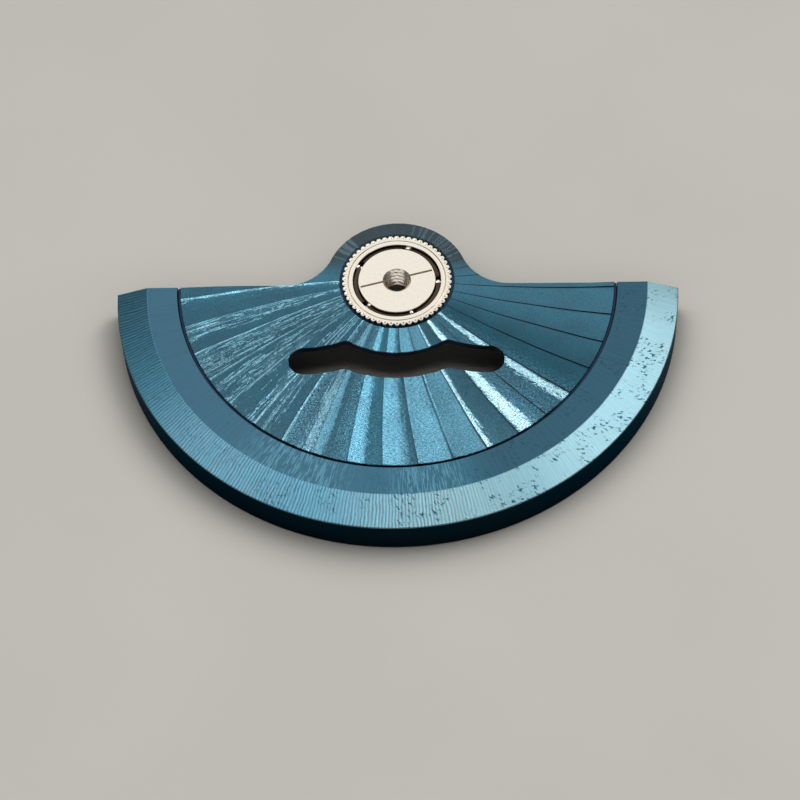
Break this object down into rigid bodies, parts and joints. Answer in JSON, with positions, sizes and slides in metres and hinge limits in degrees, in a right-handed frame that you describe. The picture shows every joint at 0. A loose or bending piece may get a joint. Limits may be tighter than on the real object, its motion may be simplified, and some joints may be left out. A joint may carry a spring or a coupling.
{
  "type": "automatic watch rotor",
  "caption": "Half-round winding weight with a pleated fan plate, a bevelled heavy rim and a threaded ball bearing that drives a winding pinion.",
  "frame": {"origin": "on the bearing axis, in the plane of the seat under the threaded core", "axes": "+Z along the bearing axis, up out of the movement; +X along the straight edge of the half disc; the weight lies towards -Y"},
  "size_m": [0.0264, 0.0166, 0.0022],
  "materials": {
    "blued_plate": "satin",
    "blued_rim": "satin",
    "bearing_steel": "polished",
    "core_steel": "polished",
    "cage_brass": "satin",
    "ball_steel": "polished"
  },
  "bodies": {
    "core": {"threaded_core": "core_steel", "lower_cone": "core_steel"},
    "rotor": {"rotor_plate": "blued_plate", "rim_weight": "blued_rim", "drive_pinion": "bearing_steel", "outer_race": "bearing_steel"},
    "cage": {"ball_cage": "cage_brass"},
    "ball_1": {"ball_1": "ball_steel"},
    "ball_2": {"ball_2": "ball_steel"},
    "ball_3": {"ball_3": "ball_steel"},
    "ball_4": {"ball_4": "ball_steel"},
    "ball_5": {"ball_5": "ball_steel"}
  },
  "joints": [
    {"name": "rotor_spin", "type": "hinge", "parent": "core", "child": "rotor", "pos_m": [0, 0, 0], "axis": [0, 0, 1], "continuous": true},
    {"name": "cage_spin", "type": "hinge", "parent": "core", "child": "cage", "pos_m": [0, 0, 0], "axis": [0, 0, 1], "continuous": true},
    {"name": "ball_1_spin", "type": "hinge", "parent": "cage", "child": "ball_1", "pos_m": [0.00194, 0.00017, 0.0007], "axis": [0, 0, 1], "continuous": true},
    {"name": "ball_2_spin", "type": "hinge", "parent": "cage", "child": "ball_2", "pos_m": [0.00044, 0.0019, 0.0007], "axis": [0, 0, 1], "continuous": true},
    {"name": "ball_3_spin", "type": "hinge", "parent": "cage", "child": "ball_3", "pos_m": [-0.00167, 0.001, 0.0007], "axis": [0, 0, 1], "continuous": true},
    {"name": "ball_4_spin", "type": "hinge", "parent": "cage", "child": "ball_4", "pos_m": [-0.00147, -0.00128, 0.0007], "axis": [0, 0, 1], "continuous": true},
    {"name": "ball_5_spin", "type": "hinge", "parent": "cage", "child": "ball_5", "pos_m": [0.00076, -0.00179, 0.0007], "axis": [0, 0, 1], "continuous": true}
  ],
  "couplings": [
    {"joint": "cage_spin", "follows": "rotor_spin", "ratio": 0.54363},
    {"joint": "ball_1_spin", "follows": "rotor_spin", "ratio": 5.6869},
    {"joint": "ball_2_spin", "follows": "rotor_spin", "ratio": 5.6869},
    {"joint": "ball_3_spin", "follows": "rotor_spin", "ratio": 5.6869},
    {"joint": "ball_4_spin", "follows": "rotor_spin", "ratio": 5.6869},
    {"joint": "ball_5_spin", "follows": "rotor_spin", "ratio": 5.6869}
  ]
}
